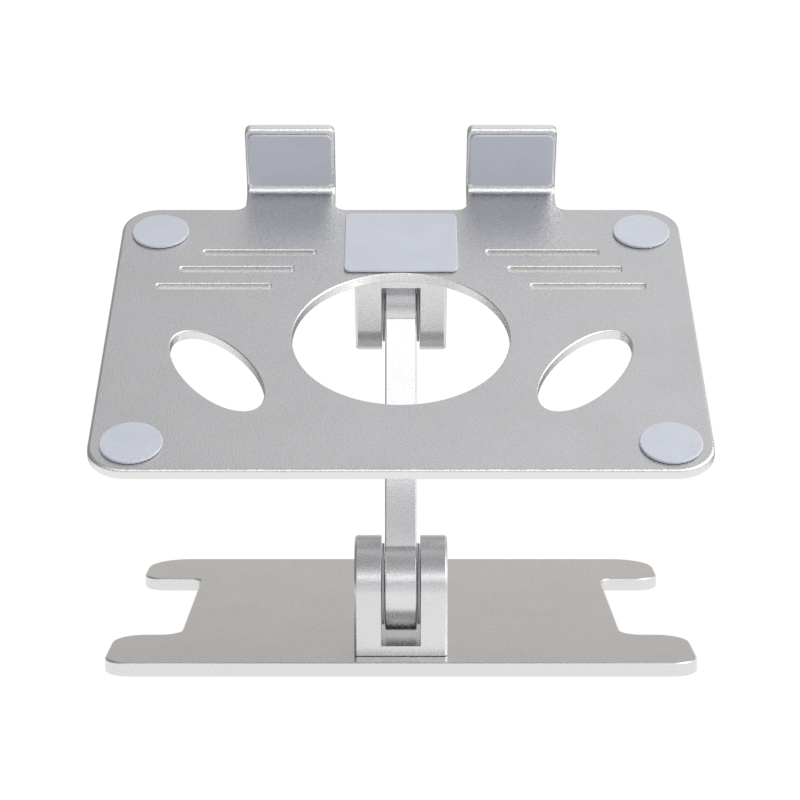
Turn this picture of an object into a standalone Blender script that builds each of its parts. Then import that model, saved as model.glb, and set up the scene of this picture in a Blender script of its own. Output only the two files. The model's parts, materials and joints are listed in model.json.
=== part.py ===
"""A folding aluminium laptop stand: a base plate, an arm with a friction hinge at each end, and a tray.

Units are metres. X runs across the stand, Y from its rear edge towards the hooks, and Z up. The origin is
on the desk under the middle of the bounding box. Each hinge turns about a line along X.
"""

import math

import bmesh
import bpy
from mathutils import Matrix, Vector

# Base plate
BASE_WIDTH = 0.2572
BASE_DEPTH = 0.2120
BASE_THICKNESS = 0.0064
BASE_CHAMFER = 0.0006
REAR_ARM_DEPTH = 0.0503
FRONT_ARM_DEPTH = 0.0465
NOTCH_DEPTH = 0.0292
REAR_TIP_RADIUS = 0.0115
REAR_NOTCH_TIP_RADIUS = 0.0140
REAR_FILLET_RADIUS = 0.0090
FRONT_TIP_RADIUS = 0.0200
FRONT_NOTCH_TIP_RADIUS = 0.0110
FRONT_FILLET_RADIUS = 0.0050

# Rubber feet
FOOT_RADIUS = 0.0090
FOOT_THICKNESS = 0.0013
FOOT_INSET = 0.0220

# Hinge brackets, the same block at both hinges
BRACKET_WIDTH = 0.0405
BRACKET_HALF_DEPTH = 0.0215
BRACKET_HEIGHT = 0.0274
EAR_CHAMFER = 0.0010
SLOT_WIDTH = 0.0172
SLOT_FLOOR = 0.0045

# Arm
ARM_WIDTH = 0.0139
ARM_LENGTH = 0.1287
ARM_SHALLOW_SIDE = 0.0145
ARM_DEEP_SIDE = 0.0165
ARM_CHAMFER = 0.0005
ARM_FILLET_RADIUS = 0.0015
KNUCKLE_RADIUS = 0.0204
ARM_LEAN = math.radians(20.83)
LOWER_PIVOT_SETBACK = 0.0321

# Hinge hardware
BOLT_RADIUS = 0.0040
BOLT_HEAD_RADIUS = 0.0072
BOLT_HEAD_THICKNESS = 0.0046
BOLT_CHAMFER = 0.0005
BOLT_SOCKET_FLATS = 0.0050
BOLT_SOCKET_DEPTH = 0.0028
HEAD_POCKET_RADIUS = 0.0082
HEAD_POCKET_DEPTH = 0.0060
NUT_POCKET_RADIUS = 0.0092
NUT_POCKET_DEPTH = 0.0076
NUT_FLATS = 0.0130
NUT_THICKNESS = 0.0038
SPRING_RADIUS = 0.0080
SPRING_THICKNESS = 0.0007
SPRING_RISE = 0.0004
WASHER_RADIUS = 0.0179
WASHER_THICKNESS = 0.0010
BUSH_RADIUS = 0.0058
RUNNING_CLEARANCE = 0.0001

# Countersunk bracket screws
SCREW_RADIUS = 0.0025
SCREW_HEAD_RADIUS = 0.0046
SCREW_REACH = 0.0090
SCREW_SPREAD_X = 0.0142
SCREW_SPREAD_Y = 0.0120
SCREW_SOCKET_FLATS = 0.0030
SCREW_SOCKET_DEPTH = 0.0018

# Tray, a sheet with two hooks bent up from it
TRAY_WIDTH = 0.2500
TRAY_DEPTH = 0.1850
TRAY_THICKNESS = 0.0046
TRAY_TILT = math.radians(30.04)
TRAY_PIVOT_SETBACK = 0.1571
TRAY_CORNER_RADIUS = 0.0160
TRAY_CHAMFER = 0.0004
TRAY_EDGE_RADIUS = 0.0015
HOOK_WIDTH = 0.0406
HOOK_CENTRE_X = 0.0503
HOOK_FACE = 0.2005
HOOK_HEIGHT = 0.0323
HOOK_ROOT_RADIUS = 0.0050
HOOK_CORNER_RADIUS = 0.0028
BEND_INNER_RADIUS = 0.0040
CENTRE_HOLE_RADIUS = 0.0460
CENTRE_HOLE_SETBACK = 0.0880
OVAL_CENTRE = (0.0765, 0.0650)
OVAL_HALF_LENGTH = 0.0310
OVAL_HALF_WIDTH = 0.0143
OVAL_SPLAY = math.radians(32.6)
VENT_LENGTH = 0.0497
VENT_WIDTH = 0.0041
VENT_END_RADIUS = 0.0013
VENT_COUNT = 3
FIRST_VENT = (0.0626, 0.1502)
VENT_STEP = (0.00935, -0.0128)

# Silicone pads
CORNER_PAD_RADIUS = 0.0127
PAD_THICKNESS = 0.0012
PAD_ROUNDING = 0.0003
CORNER_PAD_INSET_X = 0.0175
CORNER_PAD_INSET_REAR = 0.0164
CORNER_PAD_INSET_FRONT = 0.0194
CENTRE_PAD_SIZE = (0.0500, 0.0450)
CENTRE_PAD_RADIUS = 0.0030
HOOK_PAD_SIZE = (0.0380, 0.0269)
HOOK_PAD_RADIUS = 0.0030
HOOK_PAD_RISE = 0.0030

# Gaps
JOIN_GAP = 0.0002
LOOSE_GAP = 0.0003
OVERRUN = 0.0100

# Arcs
FEWEST_CORNER_STEPS = 4
ARC_STEP = 0.0030
BORE_STEPS = 28
SCREW_STEPS = 12
PAD_STEPS = 40
EAR_STEPS = 22
HOLE_STEPS = 80
OVAL_STEPS = 48
BEND_STEPS = 8
TRAY_EDGE_STEPS = 5
SMOOTH_ANGLE = math.radians(35.0)

# Where the frames lie
BASE_TOP = JOIN_GAP + FOOT_THICKNESS + BASE_THICKNESS
TRAY_OVERHANG = (
    TRAY_PIVOT_SETBACK * math.cos(TRAY_TILT)
    + (BRACKET_HEIGHT + TRAY_THICKNESS) * math.sin(TRAY_TILT)
    - ARM_LENGTH * math.sin(ARM_LEAN)
    - LOWER_PIVOT_SETBACK
)
BASE_CENTRE = Vector((0.0, TRAY_OVERHANG / 2, BASE_TOP))
LOWER_PIVOT = BASE_CENTRE + Vector((0.0, LOWER_PIVOT_SETBACK - BASE_DEPTH / 2, BRACKET_HEIGHT))
TRAY_UNDERSIDE = BRACKET_HEIGHT
TRAY_TOP = BRACKET_HEIGHT + TRAY_THICKNESS
BEND_START = HOOK_FACE - TRAY_PIVOT_SETBACK - BEND_INNER_RADIUS
BEND_MIDDLE_RADIUS = BEND_INNER_RADIUS + TRAY_THICKNESS / 2
BEND_LENGTH = BEND_MIDDLE_RADIUS * math.pi / 2

# Turns a shape drawn in Y and Z, and built up along X, into place.
ACROSS = Matrix(((0, 0, 1), (1, 0, 0), (0, 1, 0)))
UPRIGHT = Matrix.Identity(3)
UPSIDE_DOWN = Matrix.Rotation(math.pi, 3, "X")

# Finishes: colour, roughness, metallic
ANODISED = ((0.70, 0.70, 0.71), 0.38, 1.0)
ANODISED_WARM = ((0.66, 0.65, 0.63), 0.34, 1.0)
ZINC_STEEL = ((0.55, 0.56, 0.58), 0.30, 1.0)
SPRING_STEEL = ((0.32, 0.32, 0.34), 0.35, 1.0)
BRONZE = ((0.62, 0.44, 0.22), 0.40, 1.0)
ACETAL = ((0.36, 0.37, 0.39), 0.45, 0.0)
SILICONE = ((0.62, 0.64, 0.69), 0.50, 0.0)
RUBBER = ((0.05, 0.05, 0.05), 0.70, 0.0)


def clear_scene():
    for old in list(bpy.data.objects):
        bpy.data.objects.remove(old, do_unlink=True)


def material(name, finish):
    colour, roughness, metallic = finish
    made = bpy.data.materials.new(name)
    made.use_nodes = True
    shader = made.node_tree.nodes["Principled BSDF"]
    shader.inputs["Base Color"].default_value = (*colour, 1.0)
    shader.inputs["Roughness"].default_value = roughness
    shader.inputs["Metallic"].default_value = metallic
    return made


def empty(name, parent, location, tilt=0.0):
    made = bpy.data.objects.new(name, None)
    made.parent = parent
    made.location = location
    made.rotation_euler = (tilt, 0.0, 0.0)
    bpy.context.scene.collection.objects.link(made)
    return made


def place(name, mesh, parent, location=(0.0, 0.0, 0.0), turn=UPRIGHT):
    made = bpy.data.objects.new(name, mesh)
    made.parent = parent
    made.matrix_basis = Matrix.LocRotScale(Vector(location), turn.to_quaternion(), None)
    bpy.context.scene.collection.objects.link(made)
    return made


def cut(target, name, mesh, location=(0.0, 0.0, 0.0), turn=UPRIGHT):
    """Takes a hidden cutter, placed in the target's own frame, away from the target."""
    cutter = place(name, mesh, target, location, turn)
    cutter.hide_render = True
    cutter.display_type = "WIRE"
    boolean = target.modifiers.new(name, "BOOLEAN")
    boolean.operation = "DIFFERENCE"
    boolean.solver = "EXACT"
    boolean.object = cutter


def finished_mesh(name, shape, finish):
    bmesh.ops.recalc_face_normals(shape, faces=shape.faces)
    mesh = bpy.data.meshes.new(name)
    shape.to_mesh(mesh)
    shape.free()
    mesh.materials.append(material(name, finish))
    mesh.shade_smooth()
    mesh.set_sharp_from_angle(angle=SMOOTH_ANGLE)
    return mesh


# Outlines, as lists of 2D points


def circle(radius, steps, centre=(0.0, 0.0)):
    return ellipse(radius, radius, 0.0, steps, centre)


def ellipse(half_x, half_y, turn, steps, centre=(0.0, 0.0)):
    spin = Matrix.Rotation(turn, 2)
    points = []
    for step in range(steps):
        angle = 2 * math.pi * step / steps
        points.append(Vector(centre) + spin @ Vector((half_x * math.cos(angle), half_y * math.sin(angle))))
    return points


def arc(centre, start, sweep, steps):
    """Points from start, turned about the centre by the sweep."""
    arm = Vector(start) - Vector(centre)
    return [Vector(centre) + Matrix.Rotation(sweep * step / steps, 2) @ arm for step in range(steps + 1)]


def rounded(corners):
    """A closed outline through corners (x, y, radius), each rounded off by an arc."""
    points = []
    for index, (x, y, radius) in enumerate(corners):
        here = Vector((x, y))
        back = (Vector(corners[index - 1][:2]) - here).normalized()
        ahead = (Vector(corners[(index + 1) % len(corners)][:2]) - here).normalized()
        half = back.angle(ahead) / 2
        centre = here + (back + ahead).normalized() * (radius / math.sin(half))
        start = here + back * (radius / math.tan(half))
        sweep = math.copysign(math.pi - 2 * half, ahead.cross(back))
        steps = max(FEWEST_CORNER_STEPS, math.ceil(radius * math.pi / 2 / ARC_STEP))
        points += arc(centre, start, sweep, steps)
    return points


def rounded_rectangle(width, depth, radius):
    x, y = width / 2, depth / 2
    return rounded([(-x, -y, radius), (x, -y, radius), (x, y, radius), (-x, y, radius)])


def hexagon(flats):
    return ellipse(flats / math.sqrt(3), flats / math.sqrt(3), 0.0, 6)


def wound(outline, anticlockwise):
    """The outline, reversed if need be so that it runs the stated way."""
    area = sum(here.cross(ahead) for here, ahead in zip(outline, outline[1:] + outline[:1]))
    return outline if (area > 0) == anticlockwise else outline[::-1]


def inset(outline, distance):
    """The outline moved by a distance to its left, which is into the material."""
    moved = []
    for back, here, ahead in zip(outline[-1:] + outline[:-1], outline, outline[1:] + outline[:1]):
        arriving, leaving = (here - back).normalized(), (ahead - here).normalized()
        normals = Vector((-arriving.y, arriving.x)) + Vector((-leaving.y, leaving.x))
        moved.append(here + normals * (2 * distance / normals.length_squared))
    return moved


# Solids


def edges(low, high, chamfer):
    """Levels (height, inset) of a wall with the same chamfer at both faces."""
    return [(low, chamfer), (low + chamfer, 0.0), (high - chamfer, 0.0), (high, chamfer)]


def round_topped(low, high, chamfer, radius, steps):
    """Levels of a wall with a chamfer at its lower face and a rounding at its upper one."""
    start = (high - radius, 0.0)
    rounding = arc((high - radius, radius), start, math.pi / 2, steps)
    return [(low, chamfer), (low + chamfer, 0.0), *rounding]


def bare(low, high):
    return [(low, 0.0), (high, 0.0)]


def sheet(outline, holes=()):
    """A flat solid from (outline, levels), with holes that are each (outline, levels) too."""
    shape = bmesh.new()
    bottoms, tops = [], []
    for index, (points, levels) in enumerate([outline, *holes]):
        points = wound(points, anticlockwise=index == 0)
        rings = [
            [shape.verts.new((*point, height)) for point in inset(points, distance)]
            for height, distance in levels
        ]
        for lower, upper in zip(rings, rings[1:]):
            for i in range(-1, len(points) - 1):
                shape.faces.new((lower[i], lower[i + 1], upper[i + 1], upper[i]))
        bottoms += [shape.edges.get((rings[0][i - 1], rings[0][i])) for i in range(len(points))]
        tops += [shape.edges.get((rings[-1][i - 1], rings[-1][i])) for i in range(len(points))]
    for rim in (bottoms, tops):
        bmesh.ops.triangle_fill(shape, edges=rim, use_beauty=True, normal=(0, 0, 1))
    return shape


def turned(profile, steps):
    """A solid of revolution about Z, from (radius, height) points: a ring if none is on the axis."""
    shape = bmesh.new()
    closed = all(radius > 0 for radius, _ in profile)
    rings = []
    for radius, height in profile:
        count = steps if radius > 0 else 1
        rings.append(
            [
                shape.verts.new(
                    (
                        radius * math.cos(2 * math.pi * i / steps),
                        radius * math.sin(2 * math.pi * i / steps),
                        height,
                    )
                )
                for i in range(count)
            ]
        )
    for a, b in zip(rings, rings[1:] + rings[:1] if closed else rings[1:]):
        for i in range(steps):
            j = (i + 1) % steps
            corners = [a[i % len(a)], a[j % len(a)], b[j % len(b)], b[i % len(b)]]
            shape.faces.new(list(dict.fromkeys(corners)))
    return shape


def ring(inner, outer, half_width):
    """A ring centred on z = 0."""
    rims = [(inner, -half_width), (outer, -half_width), (outer, half_width), (inner, half_width)]
    return turned(rims, BORE_STEPS)


def disc(radius, high, chamfer):
    """A disc that stands on z = 0, with its upper edge chamfered."""
    rim = [(radius, 0.0), (radius, high - chamfer), (radius - chamfer, high)]
    return turned([(0.0, 0.0), *rim, (0.0, high)], PAD_STEPS)


def cylinder(radius, low, high, steps):
    return turned([(0.0, low), (radius, low), (radius, high), (0.0, high)], steps)


def block(x, y, z):
    """A box between pairs of limits."""
    corners = [Vector((x[0], y[0])), Vector((x[1], y[0])), Vector((x[1], y[1])), Vector((x[0], y[1]))]
    return sheet((corners, bare(*z)))


def cutter_mesh(name, shape):
    bmesh.ops.recalc_face_normals(shape, faces=shape.faces)
    mesh = bpy.data.meshes.new(name)
    shape.to_mesh(mesh)
    shape.free()
    return mesh


# Hinges


def bracket_outline():
    """A bracket's side: half round about the pivot, then flat faces that run on past the mounting face."""
    bottom = -BRACKET_HEIGHT - OVERRUN
    return [
        Vector((-BRACKET_HALF_DEPTH, bottom)),
        Vector((BRACKET_HALF_DEPTH, bottom)),
        *arc((0.0, 0.0), (BRACKET_HALF_DEPTH, 0.0), math.pi, EAR_STEPS),
    ]


def pivot_cutter():
    """The hole across both ears, wider at one end for the bolt's head and at the other for the nut."""
    bore = BOLT_RADIUS + LOOSE_GAP
    side = BRACKET_WIDTH / 2
    profile = [
        (0.0, -side - OVERRUN),
        (HEAD_POCKET_RADIUS, -side - OVERRUN),
        (HEAD_POCKET_RADIUS, -side + HEAD_POCKET_DEPTH),
        (bore, -side + HEAD_POCKET_DEPTH),
        (bore, side - NUT_POCKET_DEPTH),
        (NUT_POCKET_RADIUS, side - NUT_POCKET_DEPTH),
        (NUT_POCKET_RADIUS, side + OVERRUN),
        (0.0, side + OVERRUN),
    ]
    return turned(profile, BORE_STEPS)


def add_bracket(name, hinge, turn):
    """A fork about its pivot. Its mounting face is below the pivot, or above it when it is turned over."""
    side = BRACKET_WIDTH / 2
    shape = sheet((bracket_outline(), edges(-side, side, EAR_CHAMFER)))
    made = place(name, finished_mesh(name, shape, ANODISED), hinge, turn=turn @ ACROSS)
    wide = (-BRACKET_HALF_DEPTH - OVERRUN, BRACKET_HALF_DEPTH + OVERRUN)
    mounting = (-BRACKET_HEIGHT - 2 * OVERRUN, JOIN_GAP - BRACKET_HEIGHT)
    below = block(wide, mounting, (-side - OVERRUN, side + OVERRUN))
    cut(made, name + "_face_cutter", cutter_mesh(name + "_face_cutter", below))
    slot = block(wide, (SLOT_FLOOR - BRACKET_HEIGHT, BRACKET_HALF_DEPTH + OVERRUN), (-SLOT_WIDTH / 2, SLOT_WIDTH / 2))
    cut(made, name + "_slot_cutter", cutter_mesh(name + "_slot_cutter", slot))
    cut(made, name + "_pivot_cutter", cutter_mesh(name + "_pivot_cutter", pivot_cutter()))
    hole = cutter_mesh(
        name + "_screw_cutter",
        cylinder(SCREW_RADIUS + LOOSE_GAP, -OVERRUN, SCREW_REACH + LOOSE_GAP, SCREW_STEPS),
    )
    upwards = ACROSS.transposed()
    for index, (x, y) in enumerate(screw_places()):
        cut(made, f"{name}_screw_cutter_{index}", hole, (y, -BRACKET_HEIGHT, x), upwards)
    return made


def bolt_shape():
    """A pivot bolt, with its head at the -Z end of its own frame."""
    seat = -BRACKET_WIDTH / 2 + HEAD_POCKET_DEPTH - LOOSE_GAP
    top = seat - BOLT_HEAD_THICKNESS
    end = BRACKET_WIDTH / 2 - LOOSE_GAP
    profile = [
        (0.0, top),
        (BOLT_HEAD_RADIUS - BOLT_CHAMFER, top),
        (BOLT_HEAD_RADIUS, top + BOLT_CHAMFER),
        (BOLT_HEAD_RADIUS, seat),
        (BOLT_RADIUS, seat),
        (BOLT_RADIUS, end - BOLT_CHAMFER),
        (BOLT_RADIUS - BOLT_CHAMFER, end),
        (0.0, end),
    ]
    return turned(profile, BORE_STEPS), top


def add_hinge_hardware(prefix, hinge):
    """The bolt, nut, disc springs and friction washers of one hinge, about its pivot line."""
    shape, top = bolt_shape()
    bolt_mesh = finished_mesh(prefix + "_pivot_bolt", shape, ZINC_STEEL)
    bolt = place(prefix + "_pivot_bolt", bolt_mesh, hinge, turn=ACROSS)
    socket = sheet((hexagon(BOLT_SOCKET_FLATS), bare(top - OVERRUN, top + BOLT_SOCKET_DEPTH)))
    cut(bolt, prefix + "_socket_cutter", cutter_mesh(prefix + "_socket_cutter", socket))

    floor = BRACKET_WIDTH / 2 - NUT_POCKET_DEPTH
    bore = BOLT_RADIUS + LOOSE_GAP
    first = floor + LOOSE_GAP
    second = first + SPRING_RISE + SPRING_THICKNESS + LOOSE_GAP
    for name, base, inner_lift in (("inner", first, 0.0), ("outer", second, SPRING_RISE)):
        outer_lift = SPRING_RISE - inner_lift
        profile = [
            (bore, base + inner_lift),
            (SPRING_RADIUS, base + outer_lift),
            (SPRING_RADIUS, base + outer_lift + SPRING_THICKNESS),
            (bore, base + inner_lift + SPRING_THICKNESS),
        ]
        label = f"{prefix}_disc_spring_{name}"
        place(label, finished_mesh(label, turned(profile, BORE_STEPS), SPRING_STEEL), hinge, turn=ACROSS)

    seat = second + SPRING_RISE + SPRING_THICKNESS + LOOSE_GAP
    nut = sheet(
        (hexagon(NUT_FLATS), edges(seat, seat + NUT_THICKNESS, BOLT_CHAMFER)),
        [(circle(bore, BORE_STEPS), bare(seat, seat + NUT_THICKNESS))],
    )
    place(prefix + "_pivot_nut", finished_mesh(prefix + "_pivot_nut", nut, ZINC_STEEL), hinge, turn=ACROSS)

    middle = (SLOT_WIDTH + ARM_WIDTH) / 4
    washer_shape = ring(bore, WASHER_RADIUS, WASHER_THICKNESS / 2)
    washer = finished_mesh(prefix + "_friction_washer", washer_shape, ACETAL)
    for side, x in (("left", -middle), ("right", middle)):
        place(f"{prefix}_friction_washer_{side}", washer, hinge, (x, 0.0, 0.0), ACROSS)


def screw_places():
    return [(x, y) for y in (-SCREW_SPREAD_Y, SCREW_SPREAD_Y) for x in (-SCREW_SPREAD_X, SCREW_SPREAD_X)]


def countersink(low, high):
    """Levels of a screw hole whose mouth is at the low face."""
    widening = SCREW_HEAD_RADIUS - SCREW_RADIUS
    return [(low, widening), (low + widening, 0.0), (high, 0.0)]


def add_screws(prefix, parent, thickness, mount_height, turn):
    """Four countersunk screws through a plate into its bracket, with their heads flush with the plate."""
    recess = JOIN_GAP
    head = SCREW_HEAD_RADIUS - SCREW_RADIUS
    low = -thickness + recess
    profile = [
        (0.0, low),
        (SCREW_HEAD_RADIUS, low),
        (SCREW_RADIUS, low + head),
        (SCREW_RADIUS, SCREW_REACH),
        (0.0, SCREW_REACH),
    ]
    mesh = finished_mesh(prefix + "_screw", turned(profile, SCREW_STEPS), ZINC_STEEL)
    socket = cutter_mesh(
        prefix + "_drive_cutter",
        sheet((hexagon(SCREW_SOCKET_FLATS), bare(low - OVERRUN, low + SCREW_SOCKET_DEPTH))),
    )
    for x, y in screw_places():
        name = f"{prefix}_screw_{end_name(y)}_{side_name(x)}"
        made = place(name, mesh, parent, (x, y, mount_height), turn)
        cut(made, name + "_drive_cutter", socket)


def side_name(x):
    return "left" if x < 0 else "right"


def end_name(y):
    return "rear" if y < 0 else "front"


# Assemblies


def base_outline():
    """Half of the plate's outline, from its rear right tip to its front right tip, and then its mirror."""
    tip, neck = BASE_WIDTH / 2, BASE_WIDTH / 2 - NOTCH_DEPTH
    rear, front = -BASE_DEPTH / 2, BASE_DEPTH / 2
    notch_rear, notch_front = rear + REAR_ARM_DEPTH, front - FRONT_ARM_DEPTH
    right = [
        (tip, rear, REAR_TIP_RADIUS),
        (tip, notch_rear, REAR_NOTCH_TIP_RADIUS),
        (neck, notch_rear, REAR_FILLET_RADIUS),
        (neck, notch_front, FRONT_FILLET_RADIUS),
        (tip, notch_front, FRONT_NOTCH_TIP_RADIUS),
        (tip, front, FRONT_TIP_RADIUS),
    ]
    left = [(-x, y, radius) for x, y, radius in reversed(right)]
    return rounded(right + left)


def add_base(frame, hinge):
    screw_line = LOWER_PIVOT_SETBACK - BASE_DEPTH / 2
    holes = [
        (
            circle(SCREW_RADIUS + LOOSE_GAP, SCREW_STEPS, (x, y + screw_line)),
            countersink(-BASE_THICKNESS, 0.0),
        )
        for x, y in screw_places()
    ]
    plate = sheet((base_outline(), edges(-BASE_THICKNESS, 0.0, BASE_CHAMFER)), holes)
    place("base_plate", finished_mesh("base_plate", plate, ANODISED_WARM), frame)

    foot = finished_mesh("base_foot", disc(FOOT_RADIUS, FOOT_THICKNESS, PAD_ROUNDING), RUBBER)
    for x in (-BASE_WIDTH / 2 + FOOT_INSET, BASE_WIDTH / 2 - FOOT_INSET):
        for y in (-BASE_DEPTH / 2 + FOOT_INSET, BASE_DEPTH / 2 - FOOT_INSET):
            name = f"base_foot_{end_name(y)}_{side_name(x)}"
            place(name, foot, frame, (x, y, -BASE_THICKNESS - JOIN_GAP), UPSIDE_DOWN)

    add_bracket("base_bracket", hinge, UPRIGHT)
    add_screws("base", hinge, BASE_THICKNESS, -BRACKET_HEIGHT, UPRIGHT)
    add_hinge_hardware("lower", hinge)


def arm_fillet(half_depth):
    """The fillet between the lower knuckle and the bar's side at y = half_depth, from the knuckle up."""
    reach = KNUCKLE_RADIUS + ARM_FILLET_RADIUS
    fillet_y = half_depth + ARM_FILLET_RADIUS
    fillet_z = math.sqrt(reach**2 - fillet_y**2)
    opening = math.atan2(fillet_y, fillet_z)
    touch = Vector((fillet_y, fillet_z)) * (KNUCKLE_RADIUS / reach)
    return arc((fillet_y, fillet_z), touch, opening - math.pi / 2, FEWEST_CORNER_STEPS), opening


def arm_outline():
    """Two round knuckles, joined by a straight bar that is set deeper on one side at each end."""
    right, right_opening = arm_fillet(ARM_DEEP_SIDE)
    rising, left_opening = arm_fillet(ARM_SHALLOW_SIDE)
    left = [Vector((-point.x, point.y)) for point in reversed(rising)]
    sweep = 2 * math.pi - right_opening - left_opening
    knuckle = arc((0.0, 0.0), left[-1], sweep, 2 * EAR_STEPS)
    lower = left + knuckle[1:-1] + right
    return lower + [Vector((-point.x, ARM_LENGTH - point.y)) for point in lower]


def add_arm(axis):
    side = ARM_WIDTH / 2
    bore = BUSH_RADIUS + RUNNING_CLEARANCE
    ends = (("lower", 0.0), ("upper", ARM_LENGTH))
    holes = [(circle(bore, BORE_STEPS, (0.0, z)), bare(-side, side)) for _, z in ends]
    bar = sheet((arm_outline(), edges(-side, side, ARM_CHAMFER)), holes)
    place("arm", finished_mesh("arm", bar, ANODISED), axis, turn=ACROSS)
    bush = finished_mesh("bush", ring(BOLT_RADIUS + RUNNING_CLEARANCE, BUSH_RADIUS, side), BRONZE)
    for name, z in ends:
        place(name + "_bush", bush, axis, (0.0, 0.0, z), ACROSS)


def tray_outline():
    """The tray's flat sheet before its hooks are bent up, with the pivot line at y = 0."""
    side = TRAY_WIDTH / 2
    rear, front = -TRAY_PIVOT_SETBACK, TRAY_DEPTH - TRAY_PIVOT_SETBACK
    outer, inner = HOOK_CENTRE_X + HOOK_WIDTH / 2, HOOK_CENTRE_X - HOOK_WIDTH / 2
    tip = BEND_START + BEND_LENGTH + HOOK_HEIGHT - BEND_INNER_RADIUS
    right = [
        (side, rear, TRAY_CORNER_RADIUS),
        (side, front, TRAY_CORNER_RADIUS),
        (outer, front, HOOK_ROOT_RADIUS),
        (outer, tip, HOOK_CORNER_RADIUS),
        (inner, tip, HOOK_CORNER_RADIUS),
        (inner, front, HOOK_ROOT_RADIUS),
    ]
    left = [(-x, y, radius) for x, y, radius in reversed(right)]
    return rounded(right + left)


def tray_openings():
    """The round hole, the two slanted ovals and the six vents."""
    outlines = [circle(CENTRE_HOLE_RADIUS, HOLE_STEPS, (0.0, CENTRE_HOLE_SETBACK - TRAY_PIVOT_SETBACK))]
    for side in (-1, 1):
        centre = (side * OVAL_CENTRE[0], OVAL_CENTRE[1] - TRAY_PIVOT_SETBACK)
        turn = math.pi / 2 - side * OVAL_SPLAY
        outlines.append(ellipse(OVAL_HALF_LENGTH, OVAL_HALF_WIDTH, turn, OVAL_STEPS, centre))
        for index in range(VENT_COUNT):
            x = side * (FIRST_VENT[0] + index * VENT_STEP[0])
            y = FIRST_VENT[1] + index * VENT_STEP[1] - TRAY_PIVOT_SETBACK
            vent = rounded_rectangle(VENT_LENGTH, VENT_WIDTH, VENT_END_RADIUS)
            outlines.append([point + Vector((x, y)) for point in vent])
    return outlines


def bent(point):
    """Where a point of the flat sheet lies once the hooks are bent up."""
    past = point.y - BEND_START
    if past <= 0:
        return point
    radius = TRAY_TOP + BEND_INNER_RADIUS - point.z
    angle = min(past / BEND_MIDDLE_RADIUS, math.pi / 2)
    y = BEND_START + radius * math.sin(angle)
    z = TRAY_TOP + BEND_INNER_RADIUS - radius * math.cos(angle) + max(past - BEND_LENGTH, 0.0)
    return Vector((point.x, y, z))


def tray_shape():
    walls = edges(TRAY_UNDERSIDE, TRAY_TOP, TRAY_CHAMFER)
    holes = [(outline, walls) for outline in tray_openings()]
    sink = [(-height, distance) for height, distance in reversed(countersink(-TRAY_TOP, -TRAY_UNDERSIDE))]
    holes += [(circle(SCREW_RADIUS + LOOSE_GAP, SCREW_STEPS, place), sink) for place in screw_places()]
    rim = round_topped(TRAY_UNDERSIDE, TRAY_TOP, TRAY_CHAMFER, TRAY_EDGE_RADIUS, TRAY_EDGE_STEPS)
    shape = sheet((tray_outline(), rim), holes)
    for step in range(BEND_STEPS + 1):
        line = (0.0, BEND_START + BEND_LENGTH * step / BEND_STEPS, 0.0)
        everything = [*shape.verts, *shape.edges, *shape.faces]
        bmesh.ops.bisect_plane(shape, geom=everything, plane_co=line, plane_no=(0.0, 1.0, 0.0), dist=1e-7)
    for vertex in shape.verts:
        vertex.co = bent(vertex.co)
    return shape


def add_tray(hinge):
    place("tray_plate", finished_mesh("tray_plate", tray_shape(), ANODISED), hinge)
    add_bracket("tray_bracket", hinge, UPSIDE_DOWN)
    add_screws("tray", hinge, TRAY_THICKNESS, TRAY_UNDERSIDE, UPSIDE_DOWN)
    add_hinge_hardware("upper", hinge)
    add_pads(hinge)


def add_pads(hinge):
    """The silicone pads that the laptop touches."""
    surface = TRAY_TOP + JOIN_GAP
    round_shape = disc(CORNER_PAD_RADIUS, PAD_THICKNESS, PAD_ROUNDING)
    round_pad = finished_mesh("corner_pad", round_shape, SILICONE)
    x = TRAY_WIDTH / 2 - CORNER_PAD_INSET_X
    rear = CORNER_PAD_INSET_REAR - TRAY_PIVOT_SETBACK
    front = TRAY_DEPTH - TRAY_PIVOT_SETBACK - CORNER_PAD_INSET_FRONT
    for end, y in (("rear", rear), ("front", front)):
        place(f"corner_pad_{end}_left", round_pad, hinge, (-x, y, surface))
        place(f"corner_pad_{end}_right", round_pad, hinge, (x, y, surface))

    levels = [(0.0, 0.0), (PAD_THICKNESS - PAD_ROUNDING, 0.0), (PAD_THICKNESS, PAD_ROUNDING)]
    middle = sheet((rounded_rectangle(*CENTRE_PAD_SIZE, CENTRE_PAD_RADIUS), levels))
    place("centre_pad", finished_mesh("centre_pad", middle, SILICONE), hinge, (0.0, 0.0, surface))

    hook = sheet((rounded_rectangle(*HOOK_PAD_SIZE, HOOK_PAD_RADIUS), levels))
    hook_pad = finished_mesh("hook_pad", hook, SILICONE)
    y = HOOK_FACE - TRAY_PIVOT_SETBACK - JOIN_GAP
    z = TRAY_TOP + HOOK_PAD_RISE + HOOK_PAD_SIZE[1] / 2
    facing_rear = Matrix.Rotation(math.pi / 2, 3, "X")
    place("hook_pad_left", hook_pad, hinge, (-HOOK_CENTRE_X, y, z), facing_rear)
    place("hook_pad_right", hook_pad, hinge, (HOOK_CENTRE_X, y, z), facing_rear)


def main():
    clear_scene()
    base_frame = empty("base_frame", None, BASE_CENTRE)
    lower_hinge = empty("lower_hinge", None, LOWER_PIVOT)
    arm_axis = empty("arm_axis", lower_hinge, (0.0, 0.0, 0.0), -ARM_LEAN)
    upper_hinge = empty("upper_hinge", arm_axis, (0.0, 0.0, ARM_LENGTH), ARM_LEAN + TRAY_TILT)
    bpy.context.view_layer.update()
    add_base(base_frame, lower_hinge)
    add_arm(arm_axis)
    add_tray(upper_hinge)


main()
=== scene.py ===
"""A folding laptop stand in silver anodised aluminium: edges, finishes, studio and camera."""

import json
import math

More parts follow.
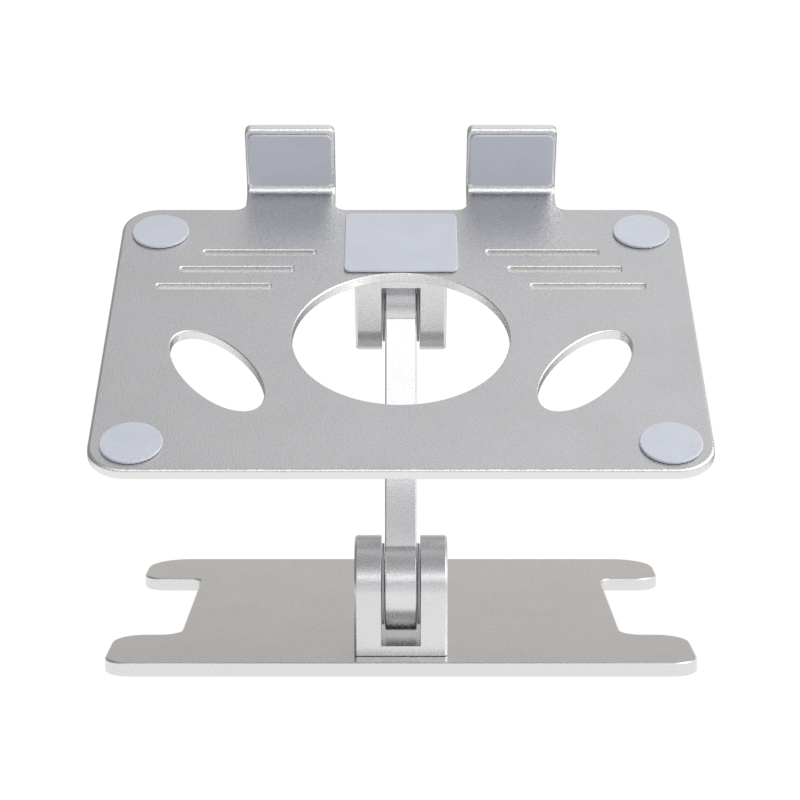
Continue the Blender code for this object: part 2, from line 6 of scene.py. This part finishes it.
import bpy
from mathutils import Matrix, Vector

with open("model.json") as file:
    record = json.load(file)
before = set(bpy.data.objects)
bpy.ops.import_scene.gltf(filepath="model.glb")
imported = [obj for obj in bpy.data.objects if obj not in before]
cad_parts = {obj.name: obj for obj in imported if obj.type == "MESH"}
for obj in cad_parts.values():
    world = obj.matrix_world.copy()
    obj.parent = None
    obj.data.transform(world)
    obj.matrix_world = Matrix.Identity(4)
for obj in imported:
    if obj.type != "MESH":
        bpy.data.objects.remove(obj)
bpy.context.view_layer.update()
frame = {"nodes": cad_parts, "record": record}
NODES, RECORD = frame["nodes"], frame["record"]
MOUNTS = {m["name"]: m for m in RECORD["mounts"]}
SLOT_OF = {s["node"]: s["material_slot"] for s in RECORD["subparts"]}
UP = (0.0, 0.0, 1.0)
# The Mix node's colour sockets, which have the same names as its others
MIX_A, MIX_B, MIX_RESULT = 6, 7, 2

# Camera, in metres from the part's origin
CAMERA_PLACE = (-0.0004, -1.0517, 0.2646)
CAMERA_PITCH_DOWN = math.radians(8.26)
CAMERA_LENS, CAMERA_SENSOR = 105.72, 36.0
CLIP_START, CLIP_END = 0.05, 100.0

# Studio. The sheet under the stand glows with a painted pool of light near it that falls off into a
# dim room.
FLOOR_HALF = 30.0
FLOOR_SEEN = 1.01
FLOOR_PAINTED_LIGHT_NEAR, FLOOR_PAINTED_LIGHT_FAR = 0.98, 0.27
FLOOR_CENTRE = (0.0, -0.30, 0.0)
FLOOR_NEAR_RADIUS, FLOOR_FAR_RADIUS = 0.44, 0.80
BACKDROP_SEEN = 1.02
ROOM_LEVEL = (0.375, 0.375, 0.378)
# Each light below has a direction, a colour and a focus. Heights are sines of the elevation.
# A broad panel in front, a little to the right, between two heights
KEY_FROM, KEY_LEVEL, KEY_FOCUS = (0.30, -0.80, 0.52), (1.22, 1.225, 1.24), 1.6
KEY_FOOT, KEY_FOOT_FULL = 0.22, 0.50
KEY_HEAD_FULL, KEY_HEAD = 0.77, 0.88
# A strip along the horizon in front
STRIP_FROM, STRIP_LEVEL, STRIP_FOCUS = (0.10, -1.0, 0.10), (0.62, 0.62, 0.63), 2.0
STRIP_BOTTOM, STRIP_TOP, STRIP_BLEND = -0.02, 0.13, 0.07
# A tighter light high up and a little behind
TOP_FROM, TOP_LEVEL, TOP_FOCUS = (0.10, 0.37, 0.93), (0.46, 0.46, 0.465), 12.0
# The pale wall behind, low down
WALL_FROM, WALL_LEVEL, WALL_FOCUS = (0.45, 0.89, 0.05), (0.47, 0.447, 0.418), 1.0
WALL_TOP, WALL_BOTTOM = 0.42, 0.12
# Side lights: bright on the right, a dark flag on the left
RIGHT_FROM, RIGHT_LEVEL, RIGHT_FOCUS = (0.98, -0.10, 0.20), (0.75, 0.755, 0.76), 3.0
LEFT_FROM, LEFT_LEVEL, LEFT_FOCUS = (-0.98, 0.05, 0.20), (-0.16, -0.16, -0.155), 2.0
# One soft box on the right
BOX_PLACE, BOX_AIM, BOX_SIDE, BOX_WATTS = (0.95, -0.35, 0.85), (0.0, -0.05, 0.12), 0.8, 6.0

# Finishes. Sizes are across a pattern's blobs, and heights are of its bumps, in metres.
NOISE_LOW, NOISE_HIGH = 0.30, 0.70
TRAY_BEAD, FINE_BEAD, BEAD_COARSENESS = 0.00070, 0.00060, 0.65
TRAY_BEAD_HEIGHT, BASE_BEAD_HEIGHT, HINGE_BEAD_HEIGHT = 0.00016, 0.000015, 0.00006
BLAST_CLOUD_SIZE, BLAST_CLOUD_DRIFT = 0.030, 0.02
BLAST_GLOSS_SIZE, BLAST_GLOSS_DRIFT = 0.0015, 0.03
TRAY_CUT_LEVEL, BASE_CUT_LEVEL = 0.80, 0.76
FACE_COSINE, CUT_COSINE = 0.995, 0.90
MOULD_CLOUD_SIZE, MOULD_CLOUD_SPREAD, MOULD_DARKER = 0.012, (0.35, 0.65), 0.97
MOULD_GLOSS_SIZE, MOULD_GLOSS_DRIFT = 0.004, 0.04
MOULD_GRAIN, MOULD_HEIGHT, RUBBER_HEIGHT, SKIN_DEPTH = 0.0006, 0.00002, 0.00005, 0.002
STAIN_SIZE, STAIN_SPREAD, STAIN_DARKER = 0.003, (0.35, 0.70), 0.86
TURNED_GLOSS_SIZE, TURNED_GLOSS_DRIFT = 0.0012, 0.06
TURNED_GRAIN, BRONZE_GRAIN, TURNED_HEIGHT = 0.0004, 0.0002, 0.00002
# The hooks' cut top ends, with a painted highlight that makes them brighter than the sheet
HOOK_TOP_HIGHLIGHT_LEVEL, HOOK_TOP_HIGHLIGHT_DEPTH, HOOK_TOP_HIGHLIGHT_BLEND = 0.98, 0.0009, 0.0003

# Edges
WELD = 1e-6
FLAT_WITHIN = math.radians(0.4)
EDGE_LEAST_ANGLE = math.radians(32.0)
EDGE_RADIUS = {
    "tray_anodised": 0.00025,
    "base_anodised": 0.00025,
    "hinge_anodised": 0.00020,
    "silicone": 0.00030,
    "rubber": 0.00025,
}
SMALL_EDGE_RADIUS = 0.00010
EDGE_SEGMENTS = 3
SHADING_WEIGHT = 90


class Tree:
    """A material's or world's node tree, emptied, with short ways to add to it."""

    def __init__(self, owner):
        owner.use_nodes = True
        self.tree = owner.node_tree
        self.tree.nodes.clear()

    def add(self, kind, settings=None, **inputs):
        node = self.tree.nodes.new(kind)
        for key, value in (settings or {}).items():
            setattr(node, key, value)
        for key, value in inputs.items():
            self.feed(node.inputs[key.replace("_", " ")], value)
        return node

    def feed(self, socket, value):
        if isinstance(value, bpy.types.NodeSocket):
            self.tree.links.new(value, socket)
        else:
            socket.default_value = value

    def math(self, operation, *values):
        node = self.add("ShaderNodeMath", {"operation": operation})
        for socket, value in zip(node.inputs, values):
            self.feed(socket, value)
        return node.outputs[0]

    def spread(self, value, low, high, to_low=0.0, to_high=1.0):
        """value from low..high onto to_low..to_high, smoothly and held at the ends."""
        node = self.add("ShaderNodeMapRange", {"interpolation_type": "SMOOTHSTEP"})
        for socket, v in zip(node.inputs, (value, low, high, to_low, to_high)):
            self.feed(socket, v)
        return node.outputs[0]

    def dot(self, a, b):
        node = self.add("ShaderNodeVectorMath", {"operation": "DOT_PRODUCT"})
        self.feed(node.inputs[0], a)
        self.feed(node.inputs[1], b)
        return node.outputs["Value"]

    def noise(self, place, size, detail=2.0, roughness=0.5):
        """Noise whose blobs are about size metres across, 0 to 1."""
        node = self.add("ShaderNodeTexNoise", Vector=place)
        node.inputs["Scale"].default_value = 1.0 / size
        node.inputs["Detail"].default_value = detail
        node.inputs["Roughness"].default_value = roughness
        return node.outputs[0]

    def mix_colour(self, share, a, b):
        node = self.add("ShaderNodeMix", {"data_type": "RGBA"})
        self.feed(node.inputs[0], share)
        self.feed(node.inputs[MIX_A], a)
        self.feed(node.inputs[MIX_B], b)
        return node.outputs[MIX_RESULT]

    def bump(self, height, distance):
        return self.add("ShaderNodeBump", Height=height, Strength=1.0, Distance=distance).outputs[0]


def grey(level):
    return (level, level, level, 1.0)


def finish_surface(tree, **inputs):
    shader = tree.add("ShaderNodeBsdfPrincipled", **inputs)
    out = tree.add("ShaderNodeOutputMaterial")
    tree.tree.links.new(shader.outputs[0], out.inputs["Surface"])


# ---------------------------------------------------------------- studio

def add_colours(tree, total, level, share):
    """total plus level scaled by share."""
    scaled = tree.add("ShaderNodeVectorMath", {"operation": "SCALE"})
    tree.feed(scaled.inputs[0], level)
    tree.feed(scaled.inputs["Scale"], share)
    both = tree.add("ShaderNodeVectorMath", {"operation": "ADD"})
    tree.feed(both.inputs[0], total)
    tree.feed(both.inputs[1], scaled.outputs[0])
    return both.outputs[0]


def facing(tree, direction, towards, focus):
    """How far a direction points towards another: 1 straight at it, 0 at a right angle.

    The higher the focus, the faster it falls between them.
    """
    aim = tuple(Vector(towards).normalized())
    return tree.math("POWER", tree.math("MAXIMUM", tree.dot(direction, aim), 0.0), focus)


def by_ray(tree, for_camera, for_the_rest):
    """One shader for what the camera sees directly, and another for light and reflections."""
    both = tree.add("ShaderNodeMixShader")
    tree.feed(both.inputs[0], tree.add("ShaderNodeLightPath").outputs["Is Camera Ray"])
    tree.feed(both.inputs[1], for_the_rest.outputs[0])
    tree.feed(both.inputs[2], for_camera.outputs[0])
    return both.outputs[0]


def make_world():
    world = bpy.data.worlds.new("studio")
    bpy.context.scene.world = world
    tree = Tree(world)
    direction = tree.add("ShaderNodeTexCoord").outputs["Generated"]
    height = tree.dot(direction, UP)
    band = tree.math(
        "MULTIPLY", tree.spread(height, KEY_FOOT, KEY_FOOT_FULL),
        tree.spread(height, KEY_HEAD, KEY_HEAD_FULL))
    key = tree.math("MULTIPLY", facing(tree, direction, KEY_FROM, KEY_FOCUS), band)
    strip = tree.math(
        "MULTIPLY", facing(tree, direction, STRIP_FROM, STRIP_FOCUS),
        tree.math(
            "MULTIPLY", tree.spread(height, STRIP_BOTTOM, STRIP_BOTTOM + STRIP_BLEND),
            tree.spread(height, STRIP_TOP + STRIP_BLEND, STRIP_TOP)))
    wall = tree.math(
        "MULTIPLY", facing(tree, direction, WALL_FROM, WALL_FOCUS),
        tree.spread(height, WALL_TOP, WALL_BOTTOM))
    light = add_colours(tree, ROOM_LEVEL, KEY_LEVEL, key)
    light = add_colours(tree, light, STRIP_LEVEL, strip)
    light = add_colours(tree, light, TOP_LEVEL, facing(tree, direction, TOP_FROM, TOP_FOCUS))
    light = add_colours(tree, light, WALL_LEVEL, wall)
    light = add_colours(tree, light, RIGHT_LEVEL, facing(tree, direction, RIGHT_FROM, RIGHT_FOCUS))
    light = add_colours(tree, light, LEFT_LEVEL, facing(tree, direction, LEFT_FROM, LEFT_FOCUS))
    surroundings = tree.add("ShaderNodeBackground", Color=light)
    backdrop = tree.add("ShaderNodeBackground", Color=grey(BACKDROP_SEEN))
    out = tree.add("ShaderNodeOutputWorld")
    tree.feed(out.inputs["Surface"], by_ray(tree, backdrop, surroundings))


def make_floor():
    mesh = bpy.data.meshes.new("floor")
    h = FLOOR_HALF
    mesh.from_pydata([(-h, -h, 0), (h, -h, 0), (h, h, 0), (-h, h, 0)], [], [(0, 1, 2, 3)])
    floor = bpy.data.objects.new("floor", mesh)
    bpy.context.scene.collection.objects.link(floor)
    material = bpy.data.materials.new("pale_floor")
    tree = Tree(material)
    apart = tree.add("ShaderNodeVectorMath", {"operation": "DISTANCE"})
    tree.feed(apart.inputs[0], tree.add("ShaderNodeTexCoord").outputs["Object"])
    tree.feed(apart.inputs[1], FLOOR_CENTRE)
    # Painted pool of light: the floor's glow is brightest near the stand and fades with distance.
    level = tree.spread(
        apart.outputs["Value"], FLOOR_NEAR_RADIUS, FLOOR_FAR_RADIUS, FLOOR_PAINTED_LIGHT_NEAR, FLOOR_PAINTED_LIGHT_FAR)
    painted_light_pool = tree.add("ShaderNodeEmission", Strength=level)
    seen = tree.add("ShaderNodeEmission", Color=grey(FLOOR_SEEN))
    # From below it is clear, so the stand's underside can be seen.
    one_sided = tree.add("ShaderNodeMixShader")
    tree.feed(one_sided.inputs[0], tree.add("ShaderNodeNewGeometry").outputs["Backfacing"])
    tree.feed(one_sided.inputs[1], by_ray(tree, seen, painted_light_pool))
    tree.feed(one_sided.inputs[2], tree.add("ShaderNodeBsdfTransparent").outputs[0])
    out = tree.add("ShaderNodeOutputMaterial")
    tree.feed(out.inputs["Surface"], one_sided.outputs[0])
    mesh.materials.append(material)


def make_soft_box():
    data = bpy.data.lights.new("soft_box", "AREA")
    data.shape, data.size = "SQUARE", BOX_SIDE
    data.energy = BOX_WATTS
    box = bpy.data.objects.new("soft_box", data)
    box.location = BOX_PLACE
    aim = Vector(BOX_AIM) - Vector(BOX_PLACE)
    box.rotation_euler = aim.to_track_quat("-Z", "Y").to_euler()
    bpy.context.scene.collection.objects.link(box)


def make_camera():
    data = bpy.data.cameras.new("camera")
    data.lens, data.sensor_width = CAMERA_LENS, CAMERA_SENSOR
    data.clip_start, data.clip_end = CLIP_START, CLIP_END
    camera = bpy.data.objects.new("camera", data)
    camera.location = CAMERA_PLACE
    camera.rotation_euler = (math.pi / 2 - CAMERA_PITCH_DOWN, 0.0, 0.0)
    bpy.context.scene.collection.objects.link(camera)
    bpy.context.scene.camera = camera


# ---------------------------------------------------------------- finishes

def uneven_gloss(tree, place, size, roughness, drift):
    """Roughness that wanders by drift to either side, in patches about size metres across."""
    patches = tree.noise(place, size)
    return tree.spread(patches, NOISE_LOW, NOISE_HIGH, roughness - drift, roughness + drift)


def blasted_aluminium(
    name, colour, roughness, bead, bead_height, flat=None, cut_level=None, highlight_above=None,
):
    """Bead-blasted and anodised. flat is a sheet's normal, and its cut edges have the grey cut_level.

    The last argument is the distance along flat at which a painted highlight on the hooks' top ends
    begins.
    """
    material = bpy.data.materials.new(name)
    tree = Tree(material)
    coords = tree.add("ShaderNodeTexCoord")
    place = coords.outputs["Object"]
    beads = tree.noise(place, bead, roughness=BEAD_COARSENESS)
    cloud = tree.noise(place, BLAST_CLOUD_SIZE, detail=3.0)
    tone = tree.spread(
        cloud, NOISE_LOW, NOISE_HIGH, 1.0 - BLAST_CLOUD_DRIFT, 1.0 + BLAST_CLOUD_DRIFT)
    tinted = tree.add("ShaderNodeVectorMath", {"operation": "SCALE"})
    tree.feed(tinted.inputs[0], colour)
    tree.feed(tinted.inputs["Scale"], tone)
    gloss = uneven_gloss(tree, place, BLAST_GLOSS_SIZE, roughness, BLAST_GLOSS_DRIFT)
    base = tinted.outputs[0]
    if flat is not None:
        across = tree.math("ABSOLUTE", tree.dot(coords.outputs["Normal"], tuple(flat)))
        edge = tree.spread(across, FACE_COSINE, CUT_COSINE)
        base = tree.mix_colour(edge, base, grey(cut_level))
    # Painted highlight: the hooks' top ends turn near white above this height along the sheet's
    # normal.
    if highlight_above is not None:
        height = tree.dot(place, tuple(flat))
        top_highlight = tree.spread(height, highlight_above, highlight_above + HOOK_TOP_HIGHLIGHT_BLEND)
        base = tree.mix_colour(top_highlight, base, grey(HOOK_TOP_HIGHLIGHT_LEVEL))
    normal = tree.bump(beads, bead_height)
    finish_surface(tree, Base_Color=base, Metallic=1.0, Roughness=gloss, Normal=normal)
    return material


def moulded(name, colour, roughness, height=MOULD_HEIGHT, subsurface=0.0):
    """Moulded silicone, rubber or plastic."""
    material = bpy.data.materials.new(name)
    tree = Tree(material)
    place = tree.add("ShaderNodeTexCoord").outputs["Object"]
    cloud = tree.noise(place, MOULD_CLOUD_SIZE)
    darker = (*(c * MOULD_DARKER for c in colour), 1.0)
    base = tree.mix_colour(tree.spread(cloud, *MOULD_CLOUD_SPREAD), darker, (*colour, 1.0))
    gloss = uneven_gloss(tree, place, MOULD_GLOSS_SIZE, roughness, MOULD_GLOSS_DRIFT)
    normal = tree.bump(tree.noise(place, MOULD_GRAIN), height)
    finish_surface(
        tree, Base_Color=base, Roughness=gloss, Normal=normal,
        Subsurface_Weight=subsurface, Subsurface_Scale=SKIN_DEPTH,
    )
    return material


def machined(name, colour, roughness, grain=TURNED_GRAIN):
    """Turned or stamped metal with a fine grain."""
    material = bpy.data.materials.new(name)
    tree = Tree(material)
    place = tree.add("ShaderNodeTexCoord").outputs["Object"]
    cloud = tree.noise(place, STAIN_SIZE, detail=3.0)
    stained = (*(c * STAIN_DARKER for c in colour), 1.0)
    base = tree.mix_colour(tree.spread(cloud, *STAIN_SPREAD), stained, (*colour, 1.0))
    gloss = uneven_gloss(tree, place, TURNED_GLOSS_SIZE, roughness, TURNED_GLOSS_DRIFT)
    normal = tree.bump(tree.noise(place, grain), TURNED_HEIGHT)
    finish_surface(tree, Base_Color=base, Metallic=1.0, Roughness=gloss, Normal=normal)
    return material


def make_finishes():
    """One material for each slot, with its colour and roughness."""
    tray_normal = Vector(MOUNTS["laptop_rest"]["axis"])
    hook_top = max(v.co.dot(tray_normal) for v in NODES["tray_plate"].data.vertices)
    return {
        "tray_anodised": blasted_aluminium(
            "tray_anodised", (0.715, 0.715, 0.725), 0.25, TRAY_BEAD, TRAY_BEAD_HEIGHT,
            flat=tray_normal, cut_level=TRAY_CUT_LEVEL, highlight_above=hook_top - HOOK_TOP_HIGHLIGHT_DEPTH),
        "base_anodised": blasted_aluminium(
            "base_anodised", (0.70, 0.685, 0.665), 0.26, FINE_BEAD, BASE_BEAD_HEIGHT,
            flat=Vector(UP), cut_level=BASE_CUT_LEVEL),
        "hinge_anodised": blasted_aluminium(
            "hinge_anodised", (0.745, 0.75, 0.76), 0.25, FINE_BEAD, HINGE_BEAD_HEIGHT),
        "silicone": moulded("silicone", (0.575, 0.60, 0.66), 0.48, subsurface=0.15),
        "rubber": moulded("rubber", (0.035, 0.035, 0.036), 0.70, height=RUBBER_HEIGHT),
        "zinc_steel": machined("zinc_steel", (0.60, 0.61, 0.63), 0.30),
        "spring_steel": machined("spring_steel", (0.30, 0.30, 0.32), 0.34),
        "bronze": machined("bronze", (0.60, 0.42, 0.20), 0.42, grain=BRONZE_GRAIN),
        "acetal": moulded("acetal", (0.66, 0.665, 0.68), 0.36),
    }


# ---------------------------------------------------------------- pieces

def soften(obj, slot):
    """Welds a node's faces together, rounds its edges finely and shades it smooth."""
    weld = obj.modifiers.new("weld", "WELD")
    weld.merge_threshold = WELD
    flat = obj.modifiers.new("flat_faces", "DECIMATE")
    flat.decimate_type = "DISSOLVE"
    flat.angle_limit = FLAT_WITHIN
    edge = obj.modifiers.new("fine_edge", "BEVEL")
    edge.limit_method = "ANGLE"
    edge.angle_limit = EDGE_LEAST_ANGLE
    edge.width = EDGE_RADIUS.get(slot, SMALL_EDGE_RADIUS)
    edge.segments = EDGE_SEGMENTS
    edge.use_clamp_overlap = True
    mesh = obj.data
    for name in ("custom_normal", "sharp_edge", "sharp_face"):
        if name in mesh.attributes:
            mesh.attributes.remove(mesh.attributes[name])
    shade = obj.modifiers.new("even_shading", "WEIGHTED_NORMAL")
    shade.mode = "FACE_AREA"
    shade.keep_sharp = False
    shade.weight = SHADING_WEIGHT


def dress_nodes():
    finishes = make_finishes()
    for name, obj in NODES.items():
        slot = SLOT_OF[name]
        obj.data.materials.clear()
        obj.data.materials.append(finishes[slot])
        soften(obj, slot)


make_camera()
make_world()
make_floor()
make_soft_box()
bpy.context.scene.view_settings.view_transform = "Standard"
dress_nodes()
